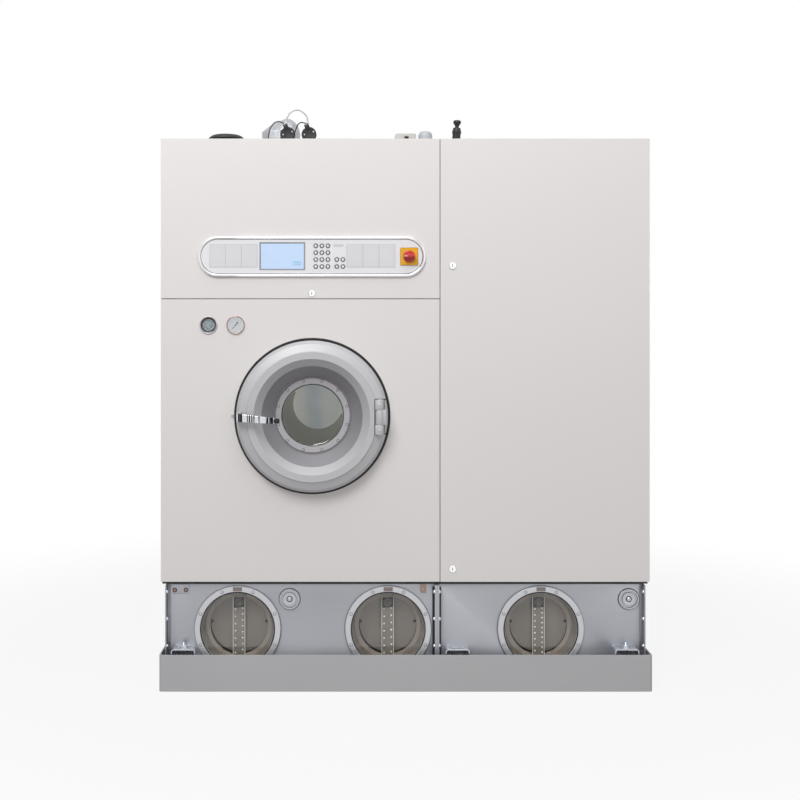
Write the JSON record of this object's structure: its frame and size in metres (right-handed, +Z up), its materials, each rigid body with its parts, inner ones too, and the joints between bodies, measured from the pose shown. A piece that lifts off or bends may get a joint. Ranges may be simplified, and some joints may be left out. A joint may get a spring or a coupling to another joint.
{
  "type": "dry cleaning machine",
  "caption": "Free-standing cabinet machine with a round loading door over a drum, a console flap, a tall service door, windowed solvent tanks and a drip tray.",
  "frame": {"origin": "centre of the drip tray's underside", "axes": "+Z up, -Y out of the front with the loading door, +X to the right when facing the front"},
  "size_m": [1.82, 1.5536, 2.1728],
  "materials": {
    "cabinet_paint": "satin warm off-white",
    "tray_metal": "satin pale grey",
    "tank_metal": "brushed, slightly streaked",
    "tank_window": "satin",
    "frame_paint": "satin",
    "stainless": "brushed",
    "cast_grey": "semi-gloss grey",
    "motor_paint": "satin",
    "black_rubber": "matte",
    "bright_ring": "satin",
    "door_glass": "polished",
    "chrome": "polished",
    "console_silver": "satin silver",
    "screen_blue": "gloss",
    "switch_yellow": "semi-gloss",
    "switch_red": "semi-gloss",
    "key_plastic": "matte",
    "galvanised": "galvanised",
    "dark_plastic": "matte dark brown",
    "black_plastic": "matte",
    "beige_plastic": "matte"
  },
  "bodies": {
    "cabinet": {"drip_tray": "tray_metal", "left_tank": "tank_metal", "right_tank": "tank_metal", "tank_window_left": "tank_window", "tank_window_middle": "tank_window", "tank_window_right": "tank_window", "frame": "frame_paint", "left_side_panel": "cabinet_paint", "right_side_panel": "cabinet_paint", "rear_panel": "cabinet_paint", "top_panel": "cabinet_paint", "lower_front_panel": "cabinet_paint", "drum_housing": "stainless", "still_vessel": "stainless", "filter_vessel": "stainless", "hinge_bracket": "cast_grey", "valve_body": "cast_grey", "drive_motor": "motor_paint", "drive_belt": "black_rubber", "porthole_trim": "black_rubber", "sight_glass": "chrome", "pressure_gauge": "chrome", "air_unit": "galvanised", "pressure_switch_left": "dark_plastic", "pressure_switch_right": "dark_plastic", "vent_cap": "black_plastic", "terminal_box": "beige_plastic"},
    "loading_door": {"door_shell": "cast_grey", "window_clamp_ring": "bright_ring", "door_glass": "door_glass"},
    "door_handle": {"door_handle": "chrome"},
    "control_flap": {"control_flap": "cabinet_paint", "console_panel": "console_silver", "display_screen": "screen_blue", "main_switch_plate": "switch_yellow"},
    "flap_lock": {"flap_lock": "chrome"},
    "main_switch": {"main_switch_knob": "switch_red"},
    "service_door": {"service_door": "cabinet_paint"},
    "upper_lock": {"service_door_lock_upper": "chrome"},
    "lower_lock": {"service_door_lock_lower": "chrome"},
    "drum": {"drum_cage": "stainless", "drum_pulley": "cast_grey"},
    "motor_rotor": {"motor_pulley": "cast_grey"},
    "valve_knob": {"valve_knob": "black_plastic"},
    "key_01": {"key_01": "key_plastic"},
    "key_02": {"key_02": "key_plastic"},
    "key_03": {"key_03": "key_plastic"},
    "key_04": {"key_04": "key_plastic"},
    "key_05": {"key_05": "key_plastic"},
    "key_06": {"key_06": "key_plastic"},
    "key_07": {"key_07": "key_plastic"},
    "key_08": {"key_08": "key_plastic"},
    "key_09": {"key_09": "key_plastic"},
    "key_10": {"key_10": "key_plastic"},
    "key_11": {"key_11": "key_plastic"},
    "key_12": {"key_12": "key_plastic"},
    "key_13": {"key_13": "key_plastic"},
    "key_14": {"key_14": "key_plastic"},
    "key_15": {"key_15": "key_plastic"},
    "key_16": {"key_16": "key_plastic"}
  },
  "joints": [
    {"name": "loading_door_hinge", "type": "hinge", "parent": "cabinet", "child": "loading_door", "pos_m": [-0.097, -0.767, 1.013], "axis": [0, 0, 1], "range_deg": [0, 120]},
    {"name": "door_handle_pivot", "type": "hinge", "parent": "loading_door", "child": "door_handle", "pos_m": [-0.612, -0.777, 1.013], "axis": [0, 0, -1], "range_deg": [0, 20]},
    {"name": "control_flap_hinge", "type": "hinge", "parent": "cabinet", "child": "control_flap", "pos_m": [-0.391, -0.7, 2.043], "axis": [-1, 0, 0], "range_deg": [0, 80]},
    {"name": "flap_lock_turn", "type": "hinge", "parent": "control_flap", "child": "flap_lock", "pos_m": [-0.3482, -0.705, 1.4698], "axis": [0, 1, 0], "range_deg": [0, 90]},
    {"name": "main_switch_turn", "type": "hinge", "parent": "control_flap", "child": "main_switch", "pos_m": [0.0143, -0.713, 1.6066], "axis": [0, 1, 0], "range_deg": [0, 90]},
    {"name": "service_door_hinge", "type": "hinge", "parent": "cabinet", "child": "service_door", "pos_m": [0.907, -0.7, 1.221], "axis": [0, 0, 1], "range_deg": [0, 105]},
    {"name": "upper_lock_turn", "type": "hinge", "parent": "service_door", "child": "upper_lock", "pos_m": [0.1762, -0.705, 1.5729], "axis": [0, -1, 0], "range_deg": [0, 90]},
    {"name": "lower_lock_turn", "type": "hinge", "parent": "service_door", "child": "lower_lock", "pos_m": [0.1762, -0.705, 0.4435], "axis": [0, -1, 0], "range_deg": [0, 90]},
    {"name": "drum_spin", "type": "hinge", "parent": "cabinet", "child": "drum", "pos_m": [-0.346, -0.25, 1.013], "axis": [0, 1, 0], "continuous": true},
    {"name": "motor_spin", "type": "hinge", "parent": "cabinet", "child": "motor_rotor", "pos_m": [-0.74, 0.228, 0.57], "axis": [0, 1, 0], "continuous": true},
    {"name": "valve_knob_turn", "type": "hinge", "parent": "cabinet", "child": "valve_knob", "pos_m": [0.206, -0.505, 2.0463], "axis": [0.0523, 0, 0.9986], "range_deg": [0, 180]},
    {"name": "key_01_press", "type": "slide", "parent": "control_flap", "child": "key_01", "axis": [0, 1, 0], "range_m": [0, 0.0014], "stiffness_N_per_m": 300},
    {"name": "key_02_press", "type": "slide", "parent": "control_flap", "child": "key_02", "axis": [0, 1, 0], "range_m": [0, 0.0014], "stiffness_N_per_m": 300},
    {"name": "key_03_press", "type": "slide", "parent": "control_flap", "child": "key_03", "axis": [0, 1, 0], "range_m": [0, 0.0014], "stiffness_N_per_m": 300},
    {"name": "key_04_press", "type": "slide", "parent": "control_flap", "child": "key_04", "axis": [0, 1, 0], "range_m": [0, 0.0014], "stiffness_N_per_m": 300},
    {"name": "key_05_press", "type": "slide", "parent": "control_flap", "child": "key_05", "axis": [0, 1, 0], "range_m": [0, 0.0014], "stiffness_N_per_m": 300},
    {"name": "key_06_press", "type": "slide", "parent": "control_flap", "child": "key_06", "axis": [0, 1, 0], "range_m": [0, 0.0014], "stiffness_N_per_m": 300},
    {"name": "key_07_press", "type": "slide", "parent": "control_flap", "child": "key_07", "axis": [0, 1, 0], "range_m": [0, 0.0014], "stiffness_N_per_m": 300},
    {"name": "key_08_press", "type": "slide", "parent": "control_flap", "child": "key_08", "axis": [0, 1, 0], "range_m": [0, 0.0014], "stiffness_N_per_m": 300},
    {"name": "key_09_press", "type": "slide", "parent": "control_flap", "child": "key_09", "axis": [0, 1, 0], "range_m": [0, 0.0014], "stiffness_N_per_m": 300},
    {"name": "key_10_press", "type": "slide", "parent": "control_flap", "child": "key_10", "axis": [0, 1, 0], "range_m": [0, 0.0014], "stiffness_N_per_m": 300},
    {"name": "key_11_press", "type": "slide", "parent": "control_flap", "child": "key_11", "axis": [0, 1, 0], "range_m": [0, 0.0014], "stiffness_N_per_m": 300},
    {"name": "key_12_press", "type": "slide", "parent": "control_flap", "child": "key_12", "axis": [0, 1, 0], "range_m": [0, 0.0014], "stiffness_N_per_m": 300},
    {"name": "key_13_press", "type": "slide", "parent": "control_flap", "child": "key_13", "axis": [0, 1, 0], "range_m": [0, 0.0014], "stiffness_N_per_m": 300},
    {"name": "key_14_press", "type": "slide", "parent": "control_flap", "child": "key_14", "axis": [0, 1, 0], "range_m": [0, 0.0014], "stiffness_N_per_m": 300},
    {"name": "key_15_press", "type": "slide", "parent": "control_flap", "child": "key_15", "axis": [0, 1, 0], "range_m": [0, 0.0014], "stiffness_N_per_m": 300},
    {"name": "key_16_press", "type": "slide", "parent": "control_flap", "child": "key_16", "axis": [0, 1, 0], "range_m": [0, 0.0014], "stiffness_N_per_m": 300}
  ],
  "couplings": [
    {"joint": "motor_spin", "follows": "drum_spin", "ratio": 3.7778}
  ]
}
